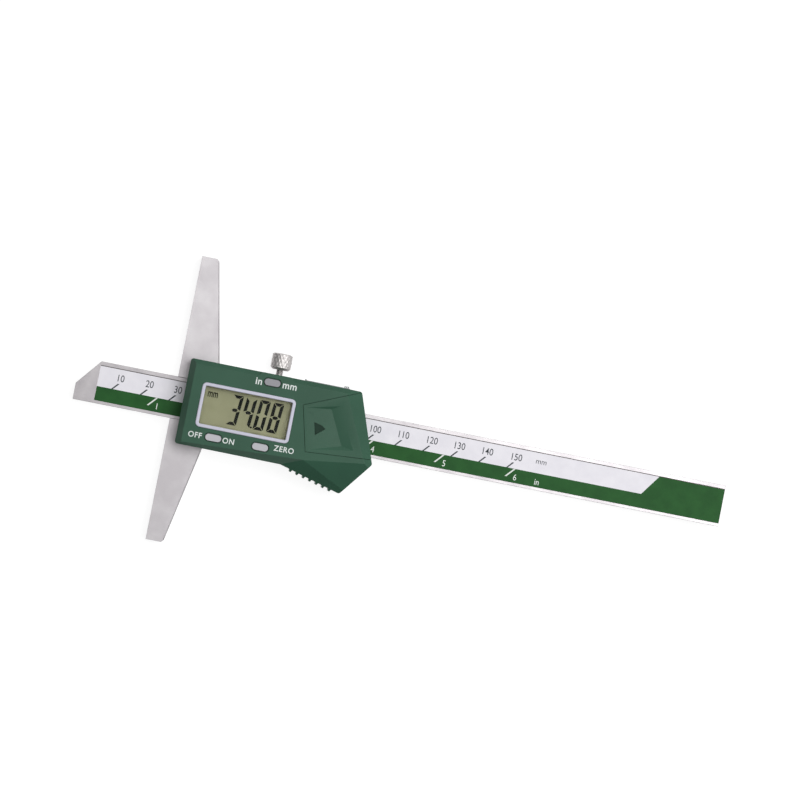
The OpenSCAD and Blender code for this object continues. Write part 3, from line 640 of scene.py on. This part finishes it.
# Display: liquid-crystal glass over two striped rubber strips. The digits are dark liquid
# crystal on an olive reflector.
zebra_layers_scale = 1500.0
zebra, tree, shader = finish("zebra_rubber", shade(220, 150, 160), 0.6)
layers = add(tree, "TexWave", {"Vector": add(tree, "TexCoord").outputs["Object"],
                               "Scale": zebra_layers_scale}, bands_direction="X")
tree.links.new(between(tree, layers.outputs[1], shade(40, 40, 42), shade(222, 152, 162)),
               shader.inputs["Base Color"])
dress(zebra, "zebra_strips")

lcd_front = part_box("lcd_panel")[1][2]
olive, tree, shader = finish("olive_reflector", shade(146, 146, 112), 0.5)
tree.links.new(between(tree, ranged(tree, noise(tree, 6 * MM), 0, 1), shade(148, 148, 114),
                       shade(138, 139, 104)), shader.inputs["Base Color"])
raise_by(tree, shader, noise(tree, 0.12 * MM), 0.004 * MM)
dress(olive, "lcd_panel")

reading = "3408"
digit_w = 3.6 * MM
digit_h = 10.5 * MM
digit_step = 4.7 * MM
digit_foot = -5.6 * MM
last_digit_end = 37.45 * MM
digit_lean = 0.09
bar = 1.12 * MM
split = 0.13 * MM
point_x, point_y, point_r = 28.1 * MM, -5.1 * MM, 0.36 * MM
bars_of = {"0": "abcdef", "3": "abcdg", "4": "bcfg", "8": "abcdefg"}


def digit_bars(digit, x, y):
    """Outlines of the lit bars of a seven-bar digit whose lower left corner is given. One
    level bar and one upright are mirrored to make the others, and each point leans to the
    right by digit_lean times its height over the middle."""
    middle = digit_h / 2
    level_bar = [(split, 0), (digit_w - split, 0), (digit_w - bar - split, bar),
                 (bar + split, bar)]
    upright = [(0, split), (bar, bar + split), (bar, middle - bar / 2 - split / 2),
               (0, middle - split)]
    centre = [(0.7 * bar, middle), (1.1 * bar, middle - bar / 2),
              (digit_w - 1.1 * bar, middle - bar / 2), (digit_w - 0.7 * bar, middle),
              (digit_w - 1.1 * bar, middle + bar / 2), (1.1 * bar, middle + bar / 2)]
    shapes = {"d": level_bar, "a": [(px, digit_h - py) for px, py in level_bar],
              "e": upright, "f": [(px, digit_h - py) for px, py in upright],
              "c": [(digit_w - px, py) for px, py in upright],
              "b": [(digit_w - px, digit_h - py) for px, py in upright], "g": centre}
    return [[(x + px + digit_lean * (py - middle), y + py) for px, py in shapes[name]]
            for name in bars_of[digit]]


bars = []
for place, digit in enumerate(reversed(reading)):
    bars = digit_bars(digit, last_digit_end - digit_w - place * digit_step, digit_foot) + bars
bars.append([(point_x + point_r * cos(pi * i / 6), point_y + point_r * sin(pi * i / 6))
             for i in range(12)])
crystal = smooth_print("dark_crystal", shade(12, 14, 12), shade(18, 20, 17), 0.5)
printed("display_digits", bars, lcd_front - 0.005 * MM, lcd_front + 0.02 * MM, crystal,
        "slider")
faint_crystal = smooth_print("faint_crystal", shade(24, 26, 20), shade(32, 34, 26), 0.5)
lettering("display_unit", [("mm", 13.15 * MM, 3.95 * MM)], 2.7 * MM, lcd_front,
          faint_crystal, "slider", width=0.64, weight=0.1 * MM)

# The pane is thin and lets light straight through, so that the display below it is lit.
pane_bend, pane_presence = 1.2, 0.35
pane, tree, shader = finish("clear_window", (0.97, 0.98, 0.97, 1), 0.03)
shader.inputs["Transmission Weight"].default_value = 1.0
shader.inputs["IOR"].default_value = pane_bend
shader.inputs["Alpha"].default_value = pane_presence
tree.links.new(ranged(tree, noise(tree, 3 * MM), 0.0, 0.01), shader.inputs["Roughness"])
dress(pane, "display_window")

bezel_paint, tree, shader = finish("bezel_paint", shade(200, 200, 214), 0.34)
tree.links.new(between(tree, noise(tree, 2 * MM), shade(204, 204, 218), shade(192, 192, 208)),
               shader.inputs["Base Color"])
raise_by(tree, shader, noise(tree, 0.15 * MM), 0.004 * MM)
softened("display_bezel", 0.42 * MM, bezel_paint)


# Buttons: hard grey caps with a flange below the front wall. Each presses a snap dome on
# the board through its stem.
plastic_cloud = 14 * MM
spark_depth = 0.012 * MM


def moulded(name, colour, shadowed, roughness, grain):
    """Moulded plastic: a fine matt grain, with colour that clouds a little."""
    material, tree, shader = finish(name, colour, roughness)
    cloud = noise(tree, plastic_cloud, detail=3.0)
    tree.links.new(between(tree, ranged(tree, cloud, 0, 1, 0.35, 0.65), colour, shadowed),
                   shader.inputs["Base Color"])
    fine = noise(tree, grain, detail=3.0)
    tree.links.new(ranged(tree, fine, roughness - 0.06, roughness + 0.08),
                   shader.inputs["Roughness"])
    raise_by(tree, shader, fine, spark_depth)
    return material


dark_cap = moulded("dark_cap", shade(148, 148, 153), shade(142, 142, 148), 0.42, 0.2 * MM)
light_cap = moulded("light_cap", shade(188, 187, 192), shade(180, 180, 186), 0.42, 0.2 * MM)
for name, cap in (("button_inch_mm", dark_cap), ("button_off_on", light_cap),
                  ("button_zero", light_cap)):
    softened(name, 0.45 * MM, cap)


# Housing: one shell of green plastic, moulded with a fine spark-eroded grain. Its words are
# pad printed in white beside the buttons.
plastic_gloss = 0.25
green_plastic = moulded("green_plastic", shade(51, 89, 70), shade(48, 84, 66), 0.38,
                        0.22 * MM)
shader = green_plastic.node_tree.nodes["Principled BSDF"]
shader.inputs["Specular IOR Level"].default_value = plastic_gloss
front_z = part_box("housing")[1][2]


def round_the_grip(middle):
    """Picks the front edges along the grip's side and round its tip, by the millimetres of
    each edge's middle."""
    x, y, z = middle.T / MM
    return (z > 7) & (y < -9) & (x > 42) | (z > 9) & (y < -6) & (x > 66)


facet_crease = radians(9)
softened("housing", 0.16 * MM, green_plastic, crease=facet_crease,
         wider=(0.55 * MM, round_the_grip))

unit_capital, switch_capital = 2.5 * MM, 1.95 * MM
word_width = 0.95
word_white = smooth_print("word_white", shade(228, 232, 230), shade(216, 222, 220), 0.5)
lettering("unit_words", [("in", 27.75 * MM, 11.2 * MM), ("mm", 38.45 * MM, 11.55 * MM)],
          unit_capital, front_z, word_white, "slider", width=word_width, weight=0.06 * MM,
          spacing=1.06)
lettering("switch_words", [("OFF", 9.85 * MM, -11.1 * MM), ("ON", 21.45 * MM, -11.15 * MM),
                           ("ZERO", 40.65 * MM, -10.3 * MM)],
          switch_capital, front_z, word_white, "slider", width=word_width,
          weight=0.045 * MM, spacing=1.12)


# Battery: a steel coin cell in a well of the housing, under a cover of the same plastic,
# which slides out towards the tail. An arrow is let into the cover's sunken panel.
cell, tree, shader = finish("cell_steel", shade(210, 210, 214), 0.24, metallic=1.0)
tree.links.new(ranged(tree, noise(tree, 0.1 * MM, (30, 1, 1)), 0.2, 0.36),
               shader.inputs["Roughness"])
dress(cell, "coin_cell")
cover_at = np.array([46.15, -1.8]) * MM
cover_tilt = radians(13.6)
out, up = np.array([[cos(cover_tilt), sin(cover_tilt)], [-sin(cover_tilt), cos(cover_tilt)]])
panel_start = 1.2 * MM
panel_fall = 0.056
panel_side_low, panel_side_high = -7.3 * MM, 7.1 * MM
floor_end_from, floor_end_to = 12 * MM, 16 * MM
end_wall_run = 3 * MM


def ease_the_end_wall(corners):
    """Moves the far corners of the panel's floor towards its start, each along the line of
    the floor's side, which keeps every face flat and gives the end wall an even slope."""
    place = corners[:, :2] - cover_at
    along, across = place @ out, place @ up
    panel_z = front_z - panel_fall * (along - panel_start)
    on_floor = abs(corners[:, 2] - panel_z) < 0.02 * MM
    far = on_floor & (along > floor_end_from) & (along < floor_end_to)
    share = np.where(far, end_wall_run / np.maximum(along - panel_start, MM), 0)
    side = np.where(across > 0, panel_side_high, panel_side_low)
    start = cover_at + panel_start * out + side[:, None] * up
    moved = corners.copy()
    moved[:, :2] += share[:, None] * (start - corners[:, :2])
    moved[:, 2] += np.where(far, panel_fall * end_wall_run, 0)
    return moved


softened("battery_cover", 0.14 * MM, green_plastic, crease=facet_crease,
         reshape=ease_the_end_wall)

# Dark green paint fills the lower part of the arrow's recess. It is painted shade, standing
# for the shade that falls inside the recess.
arrow_depth, arrow_shade_top = 0.9 * MM, 0.45 * MM
arrow_painted_shade = smooth_print("arrow_painted_shade", shade(34, 58, 46), shade(30, 52, 41), 0.5)
arrow = np.array([[3.62, -2.3], [7.55, -0.25], [3.62, 1.8]]) * MM
printed("arrow_shade_fill", [cover_at + arrow @ np.array([out, up])],
        front_z - arrow_depth, front_z - arrow_shade_top, arrow_painted_shade, "battery_cover")


# Data port: gilt contacts in a pocket of the top wall, behind a grey strip that slides
# along a slot towards the tail.
strip_plastic = moulded("strip_plastic", shade(152, 154, 156), shade(144, 146, 148), 0.45,
                        0.2 * MM)
softened("data_port_cover", 0.08 * MM, strip_plastic)
